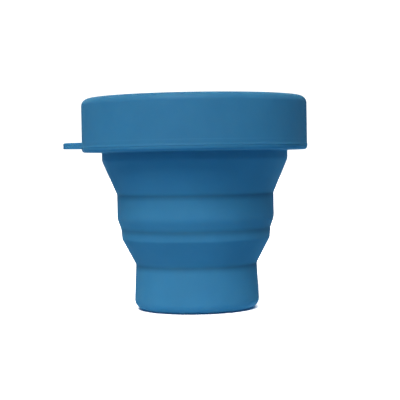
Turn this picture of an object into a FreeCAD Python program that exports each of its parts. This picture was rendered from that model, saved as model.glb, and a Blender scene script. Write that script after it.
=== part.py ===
import FreeCAD, Part
import os

import Sketcher

# A folding drinking cup with a deep push-on lid, in millimetres.
#
# The cup stands on the origin with +Z up. Its silicone body is three stiff stages, one inside the other when folded:
# the base, the middle band and the rim. Two thin cones join them, and each turns inside out when its stage is pushed
# down. A stiff plastic ring is held in a channel of the rim, and the lid's skirt goes over that ring and rests on the
# rim's flange. The lid's pull tab points along -X.

SHEET = "Sizes"

# Radii grow outwards from the base, and each span is added to the radius before it, so the stages still nest when
# one size changes. Heights add up from the table in the same way.
SIZES = [
    ("base_height", 18.1, "base, from the table to the lower fold"),
    ("base_top_radius", 24.2, "outside of the base at the lower fold"),
    ("base_flare", 0.8, "how much wider the base is at the table"),
    ("base_floor", 2.4, "thickness of the floor"),
    ("base_outer_rounding", 3.9, "outside corner of the base at the table"),
    ("base_inner_rounding", 3.0, "inside corner between floor and wall"),
    ("foot_groove_radius", 15.5, "middle of the ring groove under the floor"),
    ("foot_groove_width", 2.0, "width of that groove"),
    ("foot_groove_depth", 0.5, "depth of that groove"),
    ("stage_wall", 1.8, "wall of the stiff stages"),
    ("web_wall", 1.05, "level thickness of the folding cones and of the wall beside them"),
    ("lower_web_height", 11.1, "lower folding cone, along Z"),
    ("lower_web_span", 5.3, "lower folding cone, along the radius"),
    ("bead_height", 2.95, "upright bead above the lower cone"),
    ("bead_flare", 0.35, "how much wider the bead is at its top"),
    ("step_height", 4.05, "short taper between bead and band"),
    ("step_span", 1.45, "the same taper, along the radius"),
    ("band_height", 9.75, "straight middle band"),
    ("upper_web_height", 13.4, "upper folding cone, along Z"),
    ("upper_web_span", 5.7, "upper folding cone, along the radius"),
    ("neck_height", 3.45, "neck between the upper cone and the flange"),
    ("neck_rounding", 0.5, "inside corner between neck and flange"),
    ("flange_thickness", 1.55, "flange that the lid rests on"),
    ("flange_inset", 0.1, "how far the flange's edge lies inside the lid's side"),
    ("flange_rounding", 1.1, "lower edge of the flange"),
    ("root_wall", 2.3, "silicone between the cup's inside and the ring's foot"),
    ("channel_lip", 1.5, "silicone that holds down the ring's foot"),
    ("channel_slope", 0.9, "how far that silicone falls towards the inside, so that it drains"),
    ("channel_clearance", 0.05, "play of the ring's foot in its channel"),
    ("ring_foot_width", 2.4, "foot of the plastic ring, inside its wall"),
    ("ring_foot_thickness", 1.6, "thickness of that foot"),
    ("ring_wall", 1.6, "wall of the plastic ring"),
    ("ring_headroom", 1.0, "between the ring's lip and the underside of the lid"),
    ("skirt_clearance", 0.4, "between the ring and the lid's skirt"),
    ("rib_clearance", 0.15, "between the ring and the lid's sealing ribs"),
    ("rib_height", 1.2, "sealing rib, along Z"),
    ("rib_start", 4.0, "first sealing rib above the flange"),
    ("rib_pitch", 6.0, "from one sealing rib to the next"),
    ("lid_height", 19.75, "lid, from the flange to its top"),
    ("lid_wall", 2.3, "skirt of the lid"),
    ("lid_top", 2.2, "top of the lid"),
    ("lid_outer_rounding", 3.0, "top edge of the lid"),
    ("lid_inner_rounding", 1.0, "inside corner of the lid"),
    ("lower_edge_rounding", 0.3, "lower edge of the lid's side and tab"),
    ("panel_border", 8.0, "raised border round the lid's sunk panel"),
    ("panel_depth", 0.5, "depth of that panel"),
    ("tab_reach", 7.6, "pull tab, out from the lid's side"),
    ("tab_width", 18.0, "width of the pull tab"),
    ("tab_thickness", 2.4, "thickness of the pull tab"),
    ("tab_root_rounding", 3.0, "where the tab's sides run into the lid"),
]

RIB_COUNT = 2
RIB_BURIED = 0.5  # how far a rib's section reaches into the skirt, so that the two are one solid
SAME_PLACE = 1e-4  # two lengths closer than this are one place


def add(*lengths):
    """The sum of some lengths, each an alias or an expression, as one expression."""
    return "(" + " + ".join(lengths) + ")"


def less(length, *others):
    """A length less some others, as one expression."""
    return "(" + " - ".join([length, *others]) + ")"


def smaller(*lengths):
    """The smallest of some lengths, which keeps a rounding within its wall."""
    return "min(" + "; ".join(lengths) + ")"


def in_sheet(expression):
    """The same expression with each alias read from the sheet."""
    words = expression.replace("(", "( ").replace(")", " )").replace(";", " ;").split()
    aliases = {alias for alias, _, _ in SIZES}
    return " ".join(f"{SHEET}.{word}" if word in aliases else word for word in words)


# Outside radii, from the base outwards.
BASE_FOOT_RADIUS = add("base_top_radius", "base_flare")
BEAD_RADIUS = add("base_top_radius", "lower_web_span")
BEAD_TOP_RADIUS = add(BEAD_RADIUS, "bead_flare")
BAND_RADIUS = add(BEAD_TOP_RADIUS, "step_span")
NECK_RADIUS = add(BAND_RADIUS, "upper_web_span")
NECK_INNER_RADIUS = less(NECK_RADIUS, "web_wall")
CHANNEL_RADIUS = add(NECK_INNER_RADIUS, "root_wall")
RING_FOOT_RADIUS = add(CHANNEL_RADIUS, "channel_clearance")
RING_INNER_RADIUS = add(RING_FOOT_RADIUS, "ring_foot_width")
RING_RADIUS = add(RING_INNER_RADIUS, "ring_wall")
SKIRT_INNER_RADIUS = add(RING_RADIUS, "skirt_clearance")
LID_RADIUS = add(SKIRT_INNER_RADIUS, "lid_wall")
FLANGE_RADIUS = less(LID_RADIUS, "flange_inset")

# Heights above the table, where one piece stands on another.
LOWER_WEB_Z = "base_height"
MIDDLE_Z = add(LOWER_WEB_Z, "lower_web_height")
UPPER_WEB_Z = add(MIDDLE_Z, "bead_height", "step_height", "band_height")
RIM_Z = add(UPPER_WEB_Z, "upper_web_height")
FLANGE_TOP_Z = add(RIM_Z, "neck_height", "flange_thickness")


def make_sheet(doc):
    """The driving dimensions: a note, a plain number and its alias on each row."""
    sheet = doc.addObject("Spreadsheet::Sheet", SHEET)
    for row, (alias, millimetres, note) in enumerate(SIZES, start=1):
        sheet.set(f"A{row}", note)
        sheet.set(f"B{row}", str(millimetres))
        sheet.setAlias(f"B{row}", alias)
    doc.recompute()
    return sheet


def length_of(doc, expression):
    """The present value of an expression, in millimetres."""
    return float(doc.getObject(SHEET).evalExpression(in_sheet(expression)))


def origin_plane(body, role):
    return next(item for item in body.Origin.OriginFeatures if item.Role == role)


def new_body(doc, label, height):
    """An empty body whose own zero height lies at the given height above the table."""
    body = doc.addObject("PartDesign::Body", label)
    body.Label = label
    body.setExpression(".Placement.Base.z", in_sheet(height))
    return body


def new_sketch(body, name, role):
    sketch = body.newObject("Sketcher::SketchObject", name)
    sketch.AttachmentSupport = [(origin_plane(body, role), "")]
    sketch.MapMode = "FlatFace"
    return sketch


def bind(sketch, kind, first, second, expression):
    """A length in the sketch, from one point to another, that follows the sheet."""
    doc = sketch.Document
    constraint = Sketcher.Constraint(kind, *first, *second, length_of(doc, expression))
    index = sketch.addConstraint(constraint)
    sketch.setExpression(f"Constraints[{index}]", in_sheet(expression))


ORIGIN_POINT = (-1, 1)
LEVEL_AXIS = -1
UPRIGHT_AXIS = -2


def draw_section(body, name, corners):
    """Half a section, as straight edges between corners given as (radius, height).

    A radius or height of "0" puts the corner on the axis or on the body's own base plane.
    """
    doc = body.Document
    sketch = new_sketch(body, name, "XZ_Plane")
    points = [FreeCAD.Vector(length_of(doc, x), length_of(doc, y), 0) for x, y in corners]
    count = len(points)
    for index, start in enumerate(points):
        sketch.addGeometry(Part.LineSegment(start, points[(index + 1) % count]), False)
    for index in range(count):
        end_of_last = (index - 1) % count
        sketch.addConstraint(Sketcher.Constraint("Coincident", end_of_last, 2, index, 1))
    for index, (radius, height) in enumerate(corners):
        if radius == "0":
            sketch.addConstraint(Sketcher.Constraint("PointOnObject", index, 1, UPRIGHT_AXIS))
        else:
            bind(sketch, "DistanceX", ORIGIN_POINT, (index, 1), radius)
        if height == "0":
            sketch.addConstraint(Sketcher.Constraint("PointOnObject", index, 1, LEVEL_AXIS))
        else:
            bind(sketch, "DistanceY", ORIGIN_POINT, (index, 1), height)
    return sketch


def turn(body, name, corners, kind="PartDesign::Revolution"):
    """A section turned all the way round the body's axis, added to it or cut from it."""
    sketch = draw_section(body, name + "_section", corners)
    feature = body.newObject(kind, name)
    feature.Profile = sketch
    feature.ReferenceAxis = (sketch, ["V_Axis"])
    feature.Angle = 360
    body.Document.recompute()
    return feature


def rims(body, places):
    """The names of the circular edges at the given (radius, height) places."""
    doc = body.Document
    wanted = [(length_of(doc, radius), length_of(doc, height)) for radius, height in places]
    shape = body.Tip.Shape
    found = []
    for index, edge in enumerate(shape.Edges, start=1):
        curve = edge.Curve
        if not isinstance(curve, Part.Circle):
            continue
        for radius, height in wanted:
            if abs(curve.Radius - radius) < SAME_PLACE and abs(curve.Center.z - height) < SAME_PLACE:
                found.append(f"Edge{index}")
    return found


def round_off(body, name, edges, radius):
    """A rounding along the named edges, whose radius follows the sheet."""
    base = body.Tip
    fillet = body.newObject("PartDesign::Fillet", name)
    fillet.Base = (base, edges)
    fillet.setExpression("Radius", in_sheet(radius))
    body.Document.recompute()
    return fillet


def make_base_cup(doc):
    """The base: a plain cup with a flat floor that the whole object stands on."""
    body = new_body(doc, "base_cup", "0")
    inner_top = less("base_top_radius", "stage_wall")
    inner_foot = less(BASE_FOOT_RADIUS, "stage_wall")
    section = [
        ("0", "0"),
        (BASE_FOOT_RADIUS, "0"),
        ("base_top_radius", "base_height"),
        (inner_top, "base_height"),
        (inner_foot, "base_floor"),
        ("0", "base_floor"),
    ]
    turn(body, "base_wall", section)
    solid = body.Tip.Shape.Volume
    near = less("foot_groove_radius", "foot_groove_width / 2")
    far = add("foot_groove_radius", "foot_groove_width / 2")
    groove = [(near, "0"), (far, "0"), ("foot_groove_radius", "foot_groove_depth")]
    turn(body, "foot_groove", groove, "PartDesign::Groove")
    if body.Tip.Shape.Volume >= solid:
        raise RuntimeError("the groove under the base cuts nothing")
    outer = rims(body, [(BASE_FOOT_RADIUS, "0")])
    round_off(body, "foot_edge", outer, smaller("base_outer_rounding", "0.5 * base_height"))
    inner = rims(body, [(inner_foot, "base_floor")])
    round_off(body, "floor_corner", inner, "base_inner_rounding")
    return body


def make_web(doc, label, height, bottom_radius, top_radius, rise):
    """A thin folding cone between two stages."""
    body = new_body(doc, label, height)
    section = [
        (less(bottom_radius, "web_wall"), "0"),
        (bottom_radius, "0"),
        (top_radius, rise),
        (less(top_radius, "web_wall"), rise),
    ]
    turn(body, label + "_cone", section)
    return body


def make_middle_band(doc):
    """The middle stage: a bead, a short taper and a straight band, with its inside following its outside."""
    body = new_body(doc, "middle_band", MIDDLE_Z)
    step_top = add("bead_height", "step_height")
    top = add(step_top, "band_height")
    bead_inner = less(BEAD_RADIUS, "web_wall")
    band_inner = less(BAND_RADIUS, "stage_wall")
    section = [
        (bead_inner, "0"),
        (BEAD_RADIUS, "0"),
        (BEAD_TOP_RADIUS, "bead_height"),
        (BAND_RADIUS, step_top),
        (BAND_RADIUS, top),
        (band_inner, top),
        (band_inner, step_top),
        (bead_inner, "bead_height"),
    ]
    turn(body, "middle_wall", section)
    return body


def make_rim_flange(doc):
    """The silicone rim: a neck, the flange under the lid, and a channel that holds the plastic ring's foot."""
    body = new_body(doc, "rim_flange", RIM_Z)
    flange_top = add("neck_height", "flange_thickness")
    channel_top = add(flange_top, "ring_foot_thickness", "channel_clearance")
    lip_radius = less(RING_INNER_RADIUS, "channel_clearance")
    lip_top = add(channel_top, "channel_lip")
    section = [
        (NECK_INNER_RADIUS, "0"),
        (NECK_RADIUS, "0"),
        (NECK_RADIUS, "neck_height"),
        (FLANGE_RADIUS, "neck_height"),
        (FLANGE_RADIUS, flange_top),
        (CHANNEL_RADIUS, flange_top),
        (CHANNEL_RADIUS, channel_top),
        (lip_radius, channel_top),
        (lip_radius, lip_top),
        (NECK_INNER_RADIUS, less(lip_top, "channel_slope")),
    ]
    turn(body, "rim_wall", section)
    neck = rims(body, [(NECK_RADIUS, "neck_height")])
    round_off(body, "neck_corner", neck, "neck_rounding")
    edge = rims(body, [(FLANGE_RADIUS, "neck_height")])
    round_off(body, "flange_edge", edge, smaller("flange_rounding", "0.8 * flange_thickness"))
    return body


def make_rim_ring(doc):
    """The stiff ring: an upright wall to drink from and for the lid to grip, on a foot that points inwards."""
    body = new_body(doc, "rim_ring", FLANGE_TOP_Z)
    top = less("lid_height", "lid_top", "ring_headroom")
    section = [
        (RING_FOOT_RADIUS, "0"),
        (RING_RADIUS, "0"),
        (RING_RADIUS, top),
        (RING_INNER_RADIUS, top),
        (RING_INNER_RADIUS, "ring_foot_thickness"),
        (RING_FOOT_RADIUS, "ring_foot_thickness"),
    ]
    turn(body, "ring_wall", section)
    lip = rims(body, [(RING_RADIUS, top), (RING_INNER_RADIUS, top)])
    round_off(body, "drinking_lip", lip, "0.45 * ring_wall")
    return body


def draw_tab(body):
    """The pull tab seen from above: two straight sides and a round end, from inside the skirt out along -X."""
    doc = body.Document
    sketch = new_sketch(body, "tab_outline", "XY_Plane")
    half_width = "(tab_width / 2)"
    root = less(LID_RADIUS, "0.75 * lid_wall")
    end_centre = less(add(LID_RADIUS, "tab_reach"), half_width)
    half = length_of(doc, half_width)
    root_x = -length_of(doc, root)
    centre_x = -length_of(doc, end_centre)
    corners = [
        FreeCAD.Vector(root_x, half, 0),
        FreeCAD.Vector(centre_x, half, 0),
        FreeCAD.Vector(centre_x - half, 0, 0),
        FreeCAD.Vector(centre_x, -half, 0),
        FreeCAD.Vector(root_x, -half, 0),
    ]
    sketch.addGeometry(Part.LineSegment(corners[0], corners[1]), False)
    sketch.addGeometry(Part.Arc(corners[1], corners[2], corners[3]), False)
    sketch.addGeometry(Part.LineSegment(corners[3], corners[4]), False)
    sketch.addGeometry(Part.LineSegment(corners[4], corners[0]), False)
    upper_side, end, lower_side, root_line = range(4)
    sketch.addConstraint(Sketcher.Constraint("Tangent", upper_side, 2, end, 1))
    sketch.addConstraint(Sketcher.Constraint("Tangent", end, 2, lower_side, 1))
    sketch.addConstraint(Sketcher.Constraint("Coincident", lower_side, 2, root_line, 1))
    sketch.addConstraint(Sketcher.Constraint("Coincident", root_line, 2, upper_side, 1))
    sketch.addConstraint(Sketcher.Constraint("Horizontal", upper_side))
    sketch.addConstraint(Sketcher.Constraint("Vertical", root_line))
    sketch.addConstraint(Sketcher.Constraint("PointOnObject", end, 3, LEVEL_AXIS))
    bind(sketch, "DistanceX", (end, 3), ORIGIN_POINT, end_centre)
    bind(sketch, "DistanceX", (root_line, 1), ORIGIN_POINT, root)
    bind(sketch, "DistanceY", (end, 3), (upper_side, 2), half_width)
    return sketch


def tab_root_edges(body):
    """The two upright edges where the tab's sides meet the lid's side."""
    names = []
    for index, edge in enumerate(body.Tip.Shape.Edges, start=1):
        lowest, highest = sorted(vertex.Point.z for vertex in (edge.Vertexes[0], edge.Vertexes[-1]))
        upright = highest - lowest > 0.5 * edge.Length
        if upright and edge.CenterOfMass.x < 0:
            names.append(f"Edge{index}")
    return names


def lower_edges(body):
    """The outer edges of the lid's lower face, round its side and its tab."""
    doc = body.Document
    inner = length_of(doc, SKIRT_INNER_RADIUS)
    names = []
    for index, edge in enumerate(body.Tip.Shape.Edges, start=1):
        on_lower_face = edge.BoundBox.ZMax < SAME_PLACE
        if on_lower_face and edge.Vertexes[0].Point.Length > inner + SAME_PLACE:
            names.append(f"Edge{index}")
    return names


def make_lid_shell(doc):
    """The lid: a deep cap with a shallow sunk panel, sealing ribs inside its skirt and a pull tab at its lower edge."""
    body = new_body(doc, "lid_shell", FLANGE_TOP_Z)
    panel_radius = less(LID_RADIUS, "panel_border")
    panel_z = less("lid_height", "panel_depth")
    under_top = less("lid_height", "lid_top")
    section = [
        (SKIRT_INNER_RADIUS, "0"),
        (LID_RADIUS, "0"),
        (LID_RADIUS, "lid_height"),
        (panel_radius, "lid_height"),
        (less(panel_radius, "panel_depth"), panel_z),
        ("0", panel_z),
        ("0", under_top),
        (SKIRT_INNER_RADIUS, under_top),
    ]
    turn(body, "lid_wall_and_top", section)
    outer = rims(body, [(LID_RADIUS, "lid_height")])
    round_off(body, "top_edge", outer, "lid_outer_rounding")
    inner = rims(body, [(SKIRT_INNER_RADIUS, under_top)])
    round_off(body, "inner_corner", inner, smaller("lid_inner_rounding", "ring_headroom"))

    outline = draw_tab(body)
    tab = body.newObject("PartDesign::Pad", "pull_tab")
    tab.Profile = outline
    tab.setExpression("Length", in_sheet("tab_thickness"))
    doc.recompute()
    round_off(body, "tab_root", tab_root_edges(body), "tab_root_rounding")
    rounding = smaller("lower_edge_rounding", "0.4 * tab_thickness")
    round_off(body, "lower_edge", lower_edges(body), rounding)

    rib_tip = add(RING_RADIUS, "rib_clearance")
    rib_top = add("rib_start", "rib_height")
    quarter = "rib_height / 4"
    buried = f"{SKIRT_INNER_RADIUS} + {RIB_BURIED}"
    rib = [
        (buried, "rib_start"),
        (buried, rib_top),
        (SKIRT_INNER_RADIUS, rib_top),
        (rib_tip, less(rib_top, quarter)),
        (rib_tip, add("rib_start", quarter)),
        (SKIRT_INNER_RADIUS, "rib_start"),
    ]
    before = body.Tip.Shape.Volume
    sealing_rib = turn(body, "sealing_rib", rib)
    pattern = body.newObject("PartDesign::LinearPattern", "sealing_ribs")
    pattern.Originals = [sealing_rib]
    pattern.Direction = (sealing_rib.Profile[0], ["V_Axis"])
    pattern.Occurrences = RIB_COUNT
    pattern.setExpression("Length", in_sheet(f"{RIB_COUNT - 1} * rib_pitch"))
    body.Tip = pattern
    doc.recompute()
    if body.Tip.Shape.Volume <= before:
        raise RuntimeError("the sealing ribs add nothing to the lid")
    return body


def make_sub_parts(doc):
    """Every piece, from the table up."""
    return [
        make_base_cup(doc),
        make_web(doc, "lower_fold_web", LOWER_WEB_Z, "base_top_radius", BEAD_RADIUS, "lower_web_height"),
        make_middle_band(doc),
        make_web(doc, "upper_fold_web", UPPER_WEB_Z, BAND_RADIUS, NECK_RADIUS, "upper_web_height"),
        make_rim_flange(doc),
        make_rim_ring(doc),
        make_lid_shell(doc),
    ]


def check(doc, sub_parts):
    """Stops before anything is written if an object failed or a piece isn't one valid solid."""
    for item in doc.Objects:
        if "Invalid" in item.State or "Error" in item.State:
            raise RuntimeError(f"{item.Label} failed: {item.State}")
    for piece in sub_parts:
        shape = piece.Shape
        if shape.isNull() or not shape.isValid():
            raise RuntimeError(f"{piece.Label} has no valid shape")
        if len(shape.Solids) != 1:
            raise RuntimeError(f"{piece.Label} has {len(shape.Solids)} solids in place of one")


def main():
    doc = FreeCAD.newDocument("folding_cup")
    make_sheet(doc)
    sub_parts = make_sub_parts(doc)
    doc.recompute()
    check(doc, sub_parts)
    os.makedirs("parts", exist_ok=True)
    for piece in sub_parts:
        piece.Shape.exportStep(os.path.join("parts", piece.Label + ".step"))
        box = piece.Shape.BoundBox
        print(f"{piece.Label}: {piece.Shape.Volume:.0f} mm3, z {box.ZMin:.2f} to {box.ZMax:.2f}")


main()
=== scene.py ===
import math

import bmesh
import bpy
from mathutils import Matrix, Vector


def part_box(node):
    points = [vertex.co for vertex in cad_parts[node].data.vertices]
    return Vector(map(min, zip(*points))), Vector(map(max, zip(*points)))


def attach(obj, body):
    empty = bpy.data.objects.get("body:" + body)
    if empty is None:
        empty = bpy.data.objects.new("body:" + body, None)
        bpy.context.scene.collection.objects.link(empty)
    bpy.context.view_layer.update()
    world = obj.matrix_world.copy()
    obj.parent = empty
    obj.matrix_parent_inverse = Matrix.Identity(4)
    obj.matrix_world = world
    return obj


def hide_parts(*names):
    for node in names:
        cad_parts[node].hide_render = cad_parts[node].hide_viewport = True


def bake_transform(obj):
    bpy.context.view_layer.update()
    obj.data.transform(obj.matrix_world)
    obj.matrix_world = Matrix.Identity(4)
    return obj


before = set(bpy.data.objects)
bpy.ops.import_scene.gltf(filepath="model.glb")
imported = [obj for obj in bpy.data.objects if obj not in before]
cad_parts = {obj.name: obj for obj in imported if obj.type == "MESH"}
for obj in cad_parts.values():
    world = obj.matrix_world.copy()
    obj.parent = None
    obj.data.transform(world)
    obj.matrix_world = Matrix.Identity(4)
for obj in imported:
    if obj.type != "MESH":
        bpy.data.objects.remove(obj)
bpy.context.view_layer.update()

# A folding drinking cup with a deep push-on lid, in metres, standing on the origin with +Z up.
#
# Two skins make the silicone cup. The lower one joins the base to the middle band, the upper one joins
# the middle band to the rim, and each bends across one folding cone. The lid is the third piece. The
# plastic ring in the rim is the CAD solid itself, with a material.

MM = 0.001
AROUND = 144  # columns round a turned piece
SMOOTH_STEP = 1.0 * MM  # longest straight run between two rings
FOLD_STEP = 0.3 * MM  # the same in the cones, which bend when the cup folds
STEP_SLACK = 1e-6  # keeps a run of a whole number of steps from getting one more
ARC_STEP = math.radians(6)
FLATTEST_CORNER = math.radians(0.5)  # a corner that turns less than this isn't rounded
LONGEST_REACH = 0.49  # share of a side that the rounding of one corner may take
SHARP = math.radians(40)
SAME_HEIGHT = 0.01 * MM
ON_AXIS = 1e-7  # a point nearer to the axis than this is on it


# ---------------------------------------------------------------- sizes read from the frame


def radii_at(node, height):
    """The smallest and largest radius of a CAD node's points at a height."""
    points = (v.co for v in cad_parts[node].data.vertices)
    found = [math.hypot(p.x, p.y) for p in points if abs(p.z - height) < SAME_HEIGHT]
    return min(found), max(found)


BASE_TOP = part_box("base_cup")[1].z
MIDDLE_BOTTOM, MIDDLE_TOP = (corner.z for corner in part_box("middle_band"))
RIM_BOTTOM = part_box("rim_flange")[0].z
FLANGE_TOP, LID_TOP = (corner.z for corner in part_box("lid_shell"))
LID_HEIGHT = LID_TOP - FLANGE_TOP

BASE_INNER_TOP, BASE_TOP_RADIUS = radii_at("base_cup", BASE_TOP)
BEAD_INNER, BEAD_RADIUS = radii_at("middle_band", MIDDLE_BOTTOM)
BAND_INNER, BAND_RADIUS = radii_at("middle_band", MIDDLE_TOP)
NECK_INNER, NECK_RADIUS = radii_at("rim_flange", RIM_BOTTOM)
CHANNEL_RADIUS = radii_at("rim_flange", FLANGE_TOP)[0]
LID_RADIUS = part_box("lid_shell")[1].x
SKIRT_INNER = radii_at("lid_shell", FLANGE_TOP)[0]
TAB_TIP = -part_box("lid_shell")[0].x
WEB_WALL = BEAD_RADIUS - BEAD_INNER

# ---------------------------------------------------------------- sizes of the soft shapes

BASE_FOOT_RADIUS = BASE_TOP_RADIUS + 0.8 * MM
FOOT_ROUNDING = 3.9 * MM
STAGE_WALL = BASE_TOP_RADIUS - BASE_INNER_TOP
BASE_FLOOR = 2.4 * MM
FLOOR_ROUNDING = 3.0 * MM
GROOVE_RADIUS, GROOVE_HALF, GROOVE_DEPTH = 15.5 * MM, 1.0 * MM, 0.5 * MM
GROOVE_EDGE_ROUNDING, GROOVE_ROUNDING = 0.3 * MM, 0.5 * MM

BEAD_BOTTOM = MIDDLE_BOTTOM - 1.1 * MM
BEAD_TOP = MIDDLE_BOTTOM + 2.95 * MM
BEAD_TOP_RADIUS = BEAD_RADIUS + 0.35 * MM
BEAD_ROUNDING, BEAD_INNER_ROUNDING = 2.5 * MM, 1.2 * MM
STEP_TOP = BEAD_TOP + 4.05 * MM
STEP_ROUNDING, STEP_INNER_ROUNDING = 7.0 * MM, 1.6 * MM
SPLIT = (STEP_TOP + MIDDLE_TOP) / 2  # where the lower and upper cup meshes meet

CREASE_ROUNDING = 2.5 * MM  # outside of a fold line
HINGE_ROUNDING = 0.3 * MM  # inside of a fold line, where the wall gets thin
LEDGE_ROUNDING = 0.35 * MM  # inside top edge of the stage below a fold line
# Painted shade: the cup's outside is darkened in a band just below each fold line, where the cone above
# shades it.
PAINTED_SHADE_DROP = 0.5 * MM  # how far below its corner the painted shade under a fold line is darkest
PAINTED_SHADE_ABOVE, PAINTED_SHADE_BELOW = 0.8 * MM, 1.2 * MM  # how far the painted shade spreads above and below that
PAINTED_SHADE_SKIN = 0.7 * MM  # points deeper than this aren't on the outside

NECK_ROUNDING, NECK_INNER_ROUNDING = 4.0 * MM, 3.0 * MM
NECK_TOP_ROUNDING, NECK_INNER_TOP_ROUNDING = 0.6 * MM, 1.0 * MM
FLANGE_BOTTOM = FLANGE_TOP - 1.55 * MM
FLANGE_ROUND_RISE = 0.2 * MM  # how far above the flange its rounding would end
FLANGE_ROUND_WIDTH = 1.35 * MM
FLANGE_ROUND_FULLNESS = 0.85  # 1 is an ellipse, less is squarer
FLANGE_ROUND_RADIUS = LID_RADIUS - 0.04 * MM - FLANGE_ROUND_WIDTH
FLANGE_ROUND_RUNS = 10
FLANGE_EDGE_ROUNDING = 0.03 * MM
CHANNEL_TOP = FLANGE_TOP + 1.65 * MM
CHANNEL_LIP = 1.5 * MM
CHANNEL_LIP_ROUNDING = 0.2 * MM
CHANNEL_FALL = 0.9 * MM
CHANNEL_LIP_RADIUS = radii_at("rim_flange", CHANNEL_TOP + CHANNEL_LIP)[1]

LID_ROOF = 2.2 * MM
LID_ROUNDING, ROOF_ROUNDING = 3.0 * MM, 1.0 * MM
PANEL_BORDER = 8.0 * MM
PANEL_DEPTH = 0.5 * MM
PANEL_EDGE_ROUNDING, PANEL_FOOT_ROUNDING = 0.7 * MM, 0.5 * MM
SKIRT_CHAMFER = 0.2 * MM
LIP_PROUD = 0.13 * MM  # the fine bead along the lid's lower edge
LIP_HEIGHT = 0.4 * MM
LIP_RISE, LIP_FALL = 0.42 * MM, 0.8 * MM  # how far the bead spreads above and below its middle
LIP_FADE = 1.0 * MM  # reach of the tab at which the bead has gone
LOWER_ROUNDING = 0.04 * MM
RIB_FEET = (10.0 * MM, 4.0 * MM)
RIB_HEIGHT, RIB_SLOPE, RIB_PROUD = 1.2 * MM, 0.3 * MM, 0.25 * MM
RIB_ROOT_ROUNDING, RIB_ROUNDING = 0.2 * MM, 0.15 * MM
TAB_HALF = 9.0 * MM
TAB_THICKNESS = 2.4 * MM
TAB_ROOT = 3.0 * MM  # fillet where the tab's sides run into the lid
TAB_ROUNDING = 0.6 * MM
PARTING_HEIGHT, PARTING_DEPTH = 1.15 * MM, 0.07 * MM  # fine line round the tab's edge
PARTING_WIDTH = 0.12 * MM
SIDE_START = TAB_THICKNESS + 0.3 * MM  # where the lid's side is the same all round
FACE_RUNS, EDGE_RUNS, SIDE_RUNS, ROUND_RUNS = 8, 3, 19, 6  # straight runs in each stretch near the tab


# ---------------------------------------------------------------- turned meshes


def corner_points(before, corner, after, rounding):
    """A corner of an outline as an arc that touches both of its sides."""
    to_before = (before - corner).normalized()
    to_after = (after - corner).normalized()
    opening = to_before.angle(to_after)
    turn = math.pi - opening
    if rounding == 0 or turn < FLATTEST_CORNER:
        return [corner]
    shorter_side = min((before - corner).length, (after - corner).length)
    reach = min(rounding * math.tan(turn / 2), LONGEST_REACH * shorter_side)
    radius = reach / math.tan(turn / 2)
    inward = (to_before + to_after).normalized()
    along = (to_after - to_before).normalized()
    centre = corner + inward * (radius / math.sin(opening / 2))
    count = max(2, math.ceil(turn / ARC_STEP))
    angles = [turn * (i / count - 0.5) for i in range(count + 1)]
    return [centre + (along * math.sin(a) - inward * math.cos(a)) * radius for a in angles]


def spread(points, closed):
    """The same outline with its long straight runs divided, finely where a cone will bend."""
    made = []
    following = points[1:] + ([points[0]] if closed else [])
    for here, there in zip(points, following):
        run = there - here
        level = (here.y + there.y) / 2
        in_cone = BASE_TOP < level < MIDDLE_BOTTOM or MIDDLE_TOP < level < RIM_BOTTOM
        step = FOLD_STEP if in_cone else SMOOTH_STEP
        count = max(1, math.ceil(run.length / step - STEP_SLACK))
        made += [here + run * (i / count) for i in range(count)]
    return made if closed else made + [points[-1]]


def outline(corners, closed):
    """The points of an outline given as (radius, height, rounding) corners."""
    places = [Vector((radius, height)) for radius, height, _ in corners]
    count = len(corners)
    points = []
    for i, (_, _, rounding) in enumerate(corners):
        if not closed and i in (0, count - 1):
            points.append(places[i])
        else:
            after = places[(i + 1) % count]
            points += corner_points(places[i - 1], places[i], after, rounding)
    return spread(points, closed)


def mesh_piece(name, rings, closed):
    """A mesh from rings of points; a ring of one point is a pole on the axis."""
    bm = bmesh.new()
    rows = [[bm.verts.new(p) for p in ring] for ring in rings]
    following = rows[1:] + ([rows[0]] if closed else [])
    for low, high in zip(rows, following):
        count = max(len(low), len(high))
        for i in range(count):
            j = (i + 1) % count
            if len(low) == 1:
                bm.faces.new((low[0], high[j], high[i]))
            elif len(high) == 1:
                bm.faces.new((low[i], low[j], high[0]))
            else:
                bm.faces.new((low[i], low[j], high[j], high[i]))
    bmesh.ops.recalc_face_normals(bm, faces=bm.faces)
    mesh = bpy.data.meshes.new(name)
    bm.to_mesh(mesh)
    bm.free()
    mesh.shade_smooth()
    mesh.set_sharp_from_angle(angle=SHARP)
    piece = bpy.data.objects.new(name, mesh)
    bpy.context.scene.collection.objects.link(piece)
    return piece


def swell(distance, width):
    """A smooth bump: 1 at no distance, and nearly 0 from twice the width on."""
    return math.exp(-((distance / width) ** 2))


def paint_fold_shade(piece, knees):
    """Paints shade under the fold lines: marks how near each outside point is to the darkest place just
    below each fold, for the material.
    """
    mark = piece.data.attributes.new("painted_fold_shade", "FLOAT", "POINT")
    for vertex, value in zip(piece.data.vertices, mark.data):
        x, y, z = vertex.co
        for radius, height in knees:
            above = z - (height - PAINTED_SHADE_DROP)
            width = PAINTED_SHADE_ABOVE if above > 0 else PAINTED_SHADE_BELOW
            if math.hypot(x, y) > radius - PAINTED_SHADE_SKIN:
                value.value += swell(above, width)


def turned_piece(name, corners, closed):
    """A piece turned round the axis from half a section."""
    angles = [2 * math.pi * i / AROUND for i in range(AROUND)]
    rings = []
    for point in outline(corners, closed):
        if point.x < ON_AXIS:
            rings.append([(0, 0, point.y)])
        else:
            rings.append([(point.x * math.cos(a), point.x * math.sin(a), point.y) for a in angles])
    return mesh_piece(name, rings, closed)


# ---------------------------------------------------------------- the cup


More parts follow.
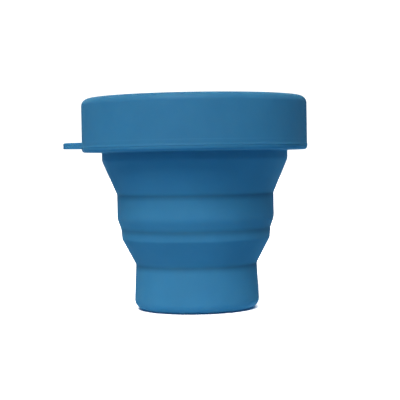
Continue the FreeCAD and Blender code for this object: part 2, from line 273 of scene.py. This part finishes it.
def lower_cup():
    """Base, lower cone, bead, taper and the lower half of the middle band, in one skin."""
    corners = [
        (0, 0, 0),
        (GROOVE_RADIUS - GROOVE_HALF, 0, GROOVE_EDGE_ROUNDING),
        (GROOVE_RADIUS, GROOVE_DEPTH, GROOVE_ROUNDING),
        (GROOVE_RADIUS + GROOVE_HALF, 0, GROOVE_EDGE_ROUNDING),
        (BASE_FOOT_RADIUS, 0, FOOT_ROUNDING),
        (BASE_TOP_RADIUS, BASE_TOP, CREASE_ROUNDING),
        (BEAD_RADIUS, BEAD_BOTTOM, BEAD_ROUNDING),
        (BEAD_TOP_RADIUS, BEAD_TOP, CREASE_ROUNDING),
        (BAND_RADIUS, STEP_TOP, STEP_ROUNDING),
        (BAND_RADIUS, SPLIT, 0),
        (BAND_INNER, SPLIT, 0),
        (BAND_INNER, STEP_TOP, STEP_INNER_ROUNDING),
        (BEAD_INNER, BEAD_TOP, BEAD_INNER_ROUNDING),
        (BEAD_INNER, MIDDLE_BOTTOM, BEAD_INNER_ROUNDING),
        (BASE_TOP_RADIUS - WEB_WALL, BASE_TOP, HINGE_ROUNDING),
        (BASE_INNER_TOP, BASE_TOP, LEDGE_ROUNDING),
        (BASE_FOOT_RADIUS - STAGE_WALL, BASE_FLOOR, FLOOR_ROUNDING),
        (0, BASE_FLOOR, 0),
    ]
    piece = turned_piece("cup_lower", corners, closed=False)
    paint_fold_shade(piece, [(BASE_TOP_RADIUS, BASE_TOP), (BEAD_TOP_RADIUS, BEAD_TOP)])
    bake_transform(piece)
    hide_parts("base_cup", "lower_fold_web")
    return piece


def flange_edge():
    """The flange's lower edge, whose soft rounding runs on into the lid's side."""
    middle = FLANGE_TOP + FLANGE_ROUND_RISE
    height = middle - FLANGE_BOTTOM
    last = math.acos((FLANGE_ROUND_RISE / height) ** (1 / FLANGE_ROUND_FULLNESS))
    corners = []
    for i in range(FLANGE_ROUND_RUNS + 1):
        a = last * i / FLANGE_ROUND_RUNS
        out = FLANGE_ROUND_WIDTH * math.sin(a) ** FLANGE_ROUND_FULLNESS
        down = height * math.cos(a) ** FLANGE_ROUND_FULLNESS
        corners.append((FLANGE_ROUND_RADIUS + out, middle - down, 0))
    widest = corners.pop()[0]
    return corners + [(widest, FLANGE_TOP, FLANGE_EDGE_ROUNDING)]


def upper_cup():
    """The middle band's upper half, upper cone, neck, flange and the ring's channel, in one skin."""
    lip_top = CHANNEL_TOP + CHANNEL_LIP
    corners = [
        (BAND_RADIUS, SPLIT, 0),
        (BAND_RADIUS, MIDDLE_TOP, CREASE_ROUNDING),
        (NECK_RADIUS, RIM_BOTTOM, NECK_ROUNDING),
        (NECK_RADIUS, FLANGE_BOTTOM, NECK_TOP_ROUNDING),
        *flange_edge(),
        (CHANNEL_RADIUS, FLANGE_TOP, 0),
        (CHANNEL_RADIUS, CHANNEL_TOP, 0),
        (CHANNEL_LIP_RADIUS, CHANNEL_TOP, 0),
        (CHANNEL_LIP_RADIUS, lip_top, CHANNEL_LIP_ROUNDING),
        (NECK_INNER, lip_top - CHANNEL_FALL, NECK_INNER_TOP_ROUNDING),
        (NECK_INNER, RIM_BOTTOM, NECK_INNER_ROUNDING),
        (BAND_RADIUS - WEB_WALL, MIDDLE_TOP, HINGE_ROUNDING),
        (BAND_INNER, MIDDLE_TOP, LEDGE_ROUNDING),
        (BAND_INNER, SPLIT, 0),
    ]
    piece = turned_piece("cup_upper", corners, closed=True)
    paint_fold_shade(piece, [(BAND_RADIUS, MIDDLE_TOP)])
    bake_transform(piece)
    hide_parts("middle_band", "upper_fold_web", "rim_flange")
    return piece


# ---------------------------------------------------------------- the lid


def tab_reach(angle):
    """How far the tab stands out of the lid's side, at an angle from the tab's own middle line.

    Seen from above, the tab's round end is an arc, and a fillet on each side runs into the lid.
    """
    side = LID_RADIUS
    centre = TAB_TIP - TAB_HALF
    fillet_centre = side + TAB_ROOT
    to_fillet = TAB_HALF + TAB_ROOT
    cosine = (fillet_centre**2 + centre**2 - to_fillet**2) / (2 * fillet_centre * centre)
    fillet_angle = math.acos(cosine)
    away = abs(angle)
    if away >= fillet_angle:
        return 0
    share = TAB_HALF / to_fillet
    touch_x = centre + (fillet_centre * math.cos(fillet_angle) - centre) * share
    touch_y = fillet_centre * math.sin(fillet_angle) * share
    if away > math.atan2(touch_y, touch_x):
        off = fillet_centre * math.sin(fillet_angle - away)
        radius = fillet_centre * math.cos(fillet_angle - away) - math.sqrt(TAB_ROOT**2 - off**2)
    else:
        off = centre * math.sin(away)
        radius = centre * math.cos(away) + math.sqrt(TAB_HALF**2 - off**2)
    return max(0, radius - side)


def lid_angles():
    """The angles of the columns round the lid, close together where the tab is."""
    fine_half, fine_step, coarse_step = 16.0, 0.2, 2.5
    tab = 180
    fine = [tab - fine_half + i * fine_step for i in range(round(2 * fine_half / fine_step))]
    rest = 360 - 2 * fine_half
    count = round(rest / coarse_step)
    coarse = [tab + fine_half + i * rest / count for i in range(count)]
    return [math.radians(a) for a in fine + coarse]


def lower_lid_side(reach):
    """One column of the lid's lower face and lower side, drawn out into the tab by the given reach."""
    side = LID_RADIUS - LIP_PROUD
    edge = side + reach
    on_tab = min(1, reach / LIP_FADE)
    inner = SKIRT_INNER + SKIRT_CHAMFER
    flat = edge - LOWER_ROUNDING - inner
    points = [(inner + flat * i / FACE_RUNS, 0) for i in range(FACE_RUNS)]
    for i in range(EDGE_RUNS + 1):
        a = math.radians(90 * i / EDGE_RUNS)
        radius = edge - LOWER_ROUNDING * (1 - math.sin(a))
        points.append((radius, LOWER_ROUNDING * (1 - math.cos(a))))
    upright_top = TAB_THICKNESS - TAB_ROUNDING
    for i in range(1, SIDE_RUNS):
        height = LOWER_ROUNDING + (upright_top - LOWER_ROUNDING) * i / SIDE_RUNS
        width = LIP_RISE if height > LIP_HEIGHT else LIP_FALL
        lip = LIP_PROUD * (1 - on_tab) * swell(height - LIP_HEIGHT, width)
        line = PARTING_DEPTH * on_tab * swell(height - PARTING_HEIGHT, PARTING_WIDTH)
        points.append((edge + lip - line, height))
    rounding = min(TAB_ROUNDING, reach)
    for i in range(ROUND_RUNS + 1):
        a = math.radians(90 * i / ROUND_RUNS)
        height = upright_top + TAB_ROUNDING * math.sin(a)
        points.append((edge - rounding * (1 - math.cos(a)), height))
    for i in range(1, FACE_RUNS + 1):
        points.append((side + (reach - rounding) * (1 - i / FACE_RUNS), TAB_THICKNESS))
    return points


def lid_inside():
    """The underside of the lid's roof and the inside of its skirt with the sealing ribs."""
    roof = LID_HEIGHT - LID_ROOF
    corners = [(0, roof, 0), (SKIRT_INNER, roof, ROOF_ROUNDING)]
    for foot in RIB_FEET:
        corners += [
            (SKIRT_INNER, foot + RIB_HEIGHT, RIB_ROOT_ROUNDING),
            (SKIRT_INNER - RIB_PROUD, foot + RIB_HEIGHT - RIB_SLOPE, RIB_ROUNDING),
            (SKIRT_INNER - RIB_PROUD, foot + RIB_SLOPE, RIB_ROUNDING),
            (SKIRT_INNER, foot, RIB_ROOT_ROUNDING),
        ]
    corners.append((SKIRT_INNER, SKIRT_CHAMFER, 0))
    return outline(corners, closed=False)


def lid_outside():
    """The lid's side above the tab, its rounded edge and its sunk panel."""
    side = LID_RADIUS - LIP_PROUD
    panel = LID_RADIUS - PANEL_BORDER
    corners = [
        (side, SIDE_START, 0),
        (side, LID_HEIGHT, LID_ROUNDING),
        (panel, LID_HEIGHT, PANEL_EDGE_ROUNDING),
        (panel - PANEL_DEPTH, LID_HEIGHT - PANEL_DEPTH, PANEL_FOOT_ROUNDING),
        (0, LID_HEIGHT - PANEL_DEPTH, 0),
    ]
    return outline(corners, closed=False)


def lid_cap():
    """The lid with its fine lower bead, its pull tab drawn out of the lower edge, and its sunk panel."""
    inside, outside = lid_inside(), lid_outside()
    angles = lid_angles()
    columns = []
    for angle in angles:
        between = [Vector(p) for p in lower_lid_side(tab_reach(angle - math.pi))]
        columns.append(inside + between + outside)
    rings = []
    for points in zip(*columns):
        height = points[0].y + FLANGE_TOP
        if max(p.x for p in points) < ON_AXIS:
            rings.append([(0, 0, height)])
            continue
        ring = [(p.x * math.cos(a), p.x * math.sin(a), p.y + FLANGE_TOP) for p, a in zip(points, angles)]
        rings.append(ring)
    piece = mesh_piece("lid_cap", rings, closed=False)
    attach(piece, "lid")
    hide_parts("lid_shell")
    return piece


# ---------------------------------------------------------------- materials


CUP_BLUE = (0.051, 0.2, 0.34)
LID_BLUE = (0.047, 0.183, 0.314)
RING_BLUE = (0.02, 0.19, 0.39)
SILICONE = {"specular": 0.14, "grain_depth": 0.012 * MM, "softness": 0.6}
HARD_PLASTIC = {"specular": 0.3, "grain_depth": 0.006 * MM, "softness": 0.0}
MOULDED_IOR = 1.41
GLOW_DEPTH = 1.2 * MM  # how far light travels inside silicone, times the shares below
GLOW_SHARES = (0.35, 0.8, 1.2)  # of red, green and blue

NOISE_LOW, NOISE_HIGH = 0.35, 0.65  # where nearly all of a noise lies
CLOUDS_PER_METRE, CLOUD_DETAIL = 38, 4
CLOUD_DEEP, CLOUD_PALE = 0.96, 1.035
ROUGH_PER_METRE, ROUGH_DETAIL, ROUGH_CHANGE = 90, 5, 0.05
GRAIN_PER_METRE, GRAIN_DETAIL = 2600, 3
WAVES_PER_METRE, WAVE_DETAIL, WAVE_DEPTH = 45, 2, 0.12 * MM
RUBBED_STARTS, RUBBED_ENDS, RUBBED_SHARE = 0.62, 0.78, 0.4  # range of pointiness, and strength
RUBBED_GAIN, RUBBED_LIFT = 1.15, 0.01
# Painted shade under the fold lines: the colour it darkens to, and how much of it.
PAINTED_SHADE_GAIN, PAINTED_SHADE_SHARE = 0.5, 0.55


def grey(value):
    return (value, value, value)


def scaled(colour, gain, lift=0):
    return tuple(c * gain + lift for c in colour)


def add_node(tree, kind, **settings):
    """A node with some of its inputs or properties set by name."""
    node = tree.nodes.new(kind)
    for name, value in settings.items():
        if name in node.inputs:
            node.inputs[name].default_value = value
        else:
            setattr(node, name, value)
    return node


def place_in(tree):
    """A point's place on its own object, in metres."""
    place = tree.nodes.get("place")
    if place is None:
        place = add_node(tree, "ShaderNodeTexCoord", name="place")
    return place.outputs["Object"]


def noise(tree, scale, detail):
    """Noise with so many waves to the metre."""
    node = add_node(tree, "ShaderNodeTexNoise", Scale=scale, Detail=detail)
    tree.links.new(place_in(tree), node.inputs["Vector"])
    return node.outputs["Fac"]


def ranged(tree, source, start, end, low=0, high=1):
    """Goes from low to high while its source goes from start to end."""
    node = tree.nodes.new("ShaderNodeMapRange")
    node.inputs["From Min"].default_value = start
    node.inputs["From Max"].default_value = end
    node.inputs["To Min"].default_value = low
    node.inputs["To Max"].default_value = high
    tree.links.new(source, node.inputs["Value"])
    return node.outputs["Result"]


def mixed(tree, share, first, second):
    """A colour between two others; each may be a colour or another node's output."""
    node = add_node(tree, "ShaderNodeMix", data_type="RGBA")
    tree.links.new(share, node.inputs["Factor"])
    for socket, colour in ((node.inputs["A"], first), (node.inputs["B"], second)):
        if isinstance(colour, tuple):
            socket.default_value = (*colour, 1)
        else:
            tree.links.new(colour, socket)
    return node.outputs["Result"]


def moulded_colour(tree, colour):
    """Slight clouds in the colour, paler rubbed edges and painted shade just below the fold lines."""
    noisy = noise(tree, CLOUDS_PER_METRE, CLOUD_DETAIL)
    clouds = ranged(tree, noisy, NOISE_LOW, NOISE_HIGH)
    body = mixed(tree, clouds, scaled(colour, CLOUD_DEEP), scaled(colour, CLOUD_PALE))
    pointiness = tree.nodes.new("ShaderNodeNewGeometry").outputs["Pointiness"]
    edges = ranged(tree, pointiness, RUBBED_STARTS, RUBBED_ENDS, 0, RUBBED_SHARE)
    worn = mixed(tree, edges, body, scaled(colour, RUBBED_GAIN, RUBBED_LIFT))
    # Painted shade: the colour darkens just below each fold line.
    fold = add_node(tree, "ShaderNodeAttribute", attribute_name="painted_fold_shade")
    depth = add_node(tree, "ShaderNodeMath", operation="MULTIPLY")
    depth.inputs[1].default_value = PAINTED_SHADE_SHARE
    tree.links.new(fold.outputs["Fac"], depth.inputs[0])
    return mixed(tree, depth.outputs["Value"], worn, scaled(colour, PAINTED_SHADE_GAIN))


def moulded_relief(tree, grain_depth):
    """Fine grain on shallow waves."""
    waves = add_node(tree, "ShaderNodeBump", Strength=1.0, Distance=WAVE_DEPTH)
    tree.links.new(noise(tree, WAVES_PER_METRE, WAVE_DETAIL), waves.inputs["Height"])
    grain = add_node(tree, "ShaderNodeBump", Strength=1.0, Distance=grain_depth)
    tree.links.new(noise(tree, GRAIN_PER_METRE, GRAIN_DETAIL), grain.inputs["Height"])
    tree.links.new(waves.outputs["Normal"], grain.inputs["Normal"])
    return grain.outputs["Normal"]


def moulded_material(name, colour, roughness, specular, grain_depth, softness):
    """Matte moulded rubber or plastic; softness is how much light goes into it."""
    material = bpy.data.materials.new(name)
    material.use_nodes = True
    tree = material.node_tree
    shader = tree.nodes["Principled BSDF"]
    shader.inputs["IOR"].default_value = MOULDED_IOR
    shader.inputs["Specular IOR Level"].default_value = specular
    shader.inputs["Subsurface Weight"].default_value = softness
    shader.inputs["Subsurface Radius"].default_value = GLOW_SHARES
    shader.inputs["Subsurface Scale"].default_value = GLOW_DEPTH
    tree.links.new(moulded_colour(tree, colour), shader.inputs["Base Color"])
    noisy = noise(tree, ROUGH_PER_METRE, ROUGH_DETAIL)
    smooth, rough = roughness - ROUGH_CHANGE, roughness + ROUGH_CHANGE
    uneven = ranged(tree, noisy, NOISE_LOW, NOISE_HIGH, smooth, rough)
    tree.links.new(uneven, shader.inputs["Roughness"])
    tree.links.new(moulded_relief(tree, grain_depth), shader.inputs["Normal"])
    return material


def finish_with(piece, material):
    piece.data.materials.clear()
    piece.data.materials.append(material)


# ---------------------------------------------------------------- light, floor and camera


STUDIO_ROUGHNESS, STUDIO_SPECULAR = 0.9, 0.2
FLOOR_RADIUS, BACKDROP_RADIUS = 4, 3.9
FLOOR_WHITE, FLOOR_SHINE = grey(0.9), grey(0.69)  # what the camera sees: colour and own light
BOUNCE_NEAR, BOUNCE_FAR = grey(0.4), grey(0.25)  # what the cup sees: colour near it and far from it
BOUNCE_STARTS, BOUNCE_ENDS = 26 * MM, 60 * MM
# the floor's faint glow under the cup's foot, for all rays: a painted contact shadow on top of the real
# one
FOOT_SHADOW_GLOW = (0.005, 0.03, 0.08)
LIGHT_ROUND_FOOT = (0.34, 0.64, 0.8)
LIGHT_AWAY = (0.105, 0.308, 0.457)
UNDER_FOOT_EDGE = 2.0 * MM
ROUND_FOOT_STARTS, ROUND_FOOT_ENDS = 1.0 * MM, 5.0 * MM
AIR_COLOUR, AIR_STRENGTH = (0.7, 0.9, 1), 0.03

CAMERA_PLACE = (1.83 * MM, -475 * MM, 58.83 * MM)
CAMERA_DOWN = math.radians(1.89)
CAMERA_ROLL = math.radians(-0.96)
CAMERA_SENSOR, CAMERA_LENS = 36, 106.745
CAMERA_NEAREST = 10 * MM


def plain_material(name, colour):
    """A matt studio surface that also gives white light."""
    material = bpy.data.materials.new(name)
    material.use_nodes = True
    shader = material.node_tree.nodes["Principled BSDF"]
    shader.inputs["Base Color"].default_value = (*colour, 1)
    shader.inputs["Roughness"].default_value = STUDIO_ROUGHNESS
    shader.inputs["Specular IOR Level"].default_value = STUDIO_SPECULAR
    shader.inputs["Emission Color"].default_value = (1, 1, 1, 1)
    shader.inputs["Emission Strength"].default_value = 1.0
    return material


def floor_material():
    """White to camera rays, and for all other rays darker, bluer and brightest round the foot. Under the
    cup's foot its glow drops to a faint blue for all rays, a painted contact shadow that deepens the
    real one.
    """
    white = plain_material("floor_white", FLOOR_WHITE)
    tree = white.node_tree
    shader = tree.nodes["Principled BSDF"]
    length = add_node(tree, "ShaderNodeVectorMath", operation="LENGTH")
    tree.links.new(place_in(tree), length.inputs[0])
    away = length.outputs["Value"]
    to_camera = tree.nodes.new("ShaderNodeLightPath").outputs["Is Camera Ray"]

    bounce_far = ranged(tree, away, BOUNCE_STARTS, BOUNCE_ENDS)
    bounce = mixed(tree, bounce_far, BOUNCE_NEAR, BOUNCE_FAR)
    tree.links.new(mixed(tree, to_camera, bounce, FLOOR_WHITE), shader.inputs["Base Color"])

    ring_starts = BASE_FOOT_RADIUS + ROUND_FOOT_STARTS
    past_ring = ranged(tree, away, ring_starts, BASE_FOOT_RADIUS + ROUND_FOOT_ENDS)
    upward = mixed(tree, past_ring, LIGHT_ROUND_FOOT, LIGHT_AWAY)
    light = mixed(tree, to_camera, upward, FLOOR_SHINE)
    # Painted contact shadow: under the foot the floor's glow falls to a faint blue, also for camera
    # rays.
    past_foot = ranged(tree, away, BASE_FOOT_RADIUS - UNDER_FOOT_EDGE, BASE_FOOT_RADIUS)
    glow = mixed(tree, past_foot, FOOT_SHADOW_GLOW, light)
    tree.links.new(glow, shader.inputs["Emission Color"])
    return white


def make_floor():
    at = (0, 0, 0)
    bpy.ops.mesh.primitive_circle_add(vertices=96, radius=FLOOR_RADIUS, fill_type="NGON", location=at)
    floor = bpy.context.object
    floor.name = "studio_floor"
    floor.data.materials.append(floor_material())


def make_backdrop():
    """A white sphere that only the camera sees."""
    at = (0, 0, 0)
    bpy.ops.mesh.primitive_uv_sphere_add(segments=64, ring_count=32, radius=BACKDROP_RADIUS, location=at)
    backdrop = bpy.context.object
    backdrop.name = "studio_backdrop"
    backdrop.data.materials.append(plain_material("backdrop_white", grey(0)))
    backdrop.visible_diffuse = False
    backdrop.visible_shadow = False
    backdrop.visible_glossy = False


def make_air():
    world = bpy.data.worlds.new("studio_air")
    world.use_nodes = True
    sky = world.node_tree.nodes["Background"]
    sky.inputs["Color"].default_value = (*AIR_COLOUR, 1)
    sky.inputs["Strength"].default_value = AIR_STRENGTH
    bpy.context.scene.world = world


def sun(name, azimuth, elevation, softness, colour, strength):
    """A soft light from far away, placed by its direction as seen from the cup, in degrees."""
    data = bpy.data.lights.new(name, "SUN")
    data.angle = math.radians(softness)
    data.energy = strength
    data.color = colour
    light = bpy.data.objects.new(name, data)
    a, e = math.radians(azimuth), math.radians(elevation)
    way = Vector((math.sin(a) * math.cos(e), -math.cos(a) * math.cos(e), math.sin(e)))
    light.location = way
    light.rotation_euler = way.to_track_quat("Z", "Y").to_euler()
    bpy.context.scene.collection.objects.link(light)


def make_lights():
    """An azimuth of 0 is the camera's side, and -90 is the side of the lid's tab."""
    sun("key", azimuth=-16, elevation=50, softness=30, colour=(1, 0.9, 0.84), strength=3.66)
    sun("low", azimuth=-20, elevation=8, softness=30, colour=(0.5, 0.8, 1), strength=0.42)
    sun("rim", azimuth=120, elevation=25, softness=60, colour=(0.75, 0.92, 1), strength=0.32)
    sun("back", azimuth=190, elevation=35, softness=60, colour=(0.95, 0.97, 1), strength=0.7)


def make_camera():
    data = bpy.data.cameras.new("photo_camera")
    data.sensor_width = CAMERA_SENSOR
    data.lens = CAMERA_LENS
    data.clip_start = CAMERA_NEAREST
    camera = bpy.data.objects.new("photo_camera", data)
    tilt = Matrix.Rotation(math.pi / 2 - CAMERA_DOWN, 4, "X")
    roll = Matrix.Rotation(CAMERA_ROLL, 4, "Z")
    camera.matrix_world = Matrix.Translation(CAMERA_PLACE) @ tilt @ roll
    bpy.context.scene.collection.objects.link(camera)
    bpy.context.scene.camera = camera


# ---------------------------------------------------------------- the whole scene

cup_lower = lower_cup()
cup_upper = upper_cup()
lid = lid_cap()

cup_silicone = moulded_material("cup_silicone", CUP_BLUE, roughness=0.62, **SILICONE)
lid_silicone = moulded_material("lid_silicone", LID_BLUE, roughness=0.6, **SILICONE)
ring_plastic = moulded_material("ring_plastic", RING_BLUE, roughness=0.38, **HARD_PLASTIC)
finish_with(cup_lower, cup_silicone)
finish_with(cup_upper, cup_silicone)
finish_with(lid, lid_silicone)
finish_with(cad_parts["rim_ring"], ring_plastic)

make_floor()
make_backdrop()
make_air()
make_lights()
make_camera()
bpy.context.scene.view_settings.view_transform = "Standard"
bpy.context.scene.view_settings.look = "Medium High Contrast"
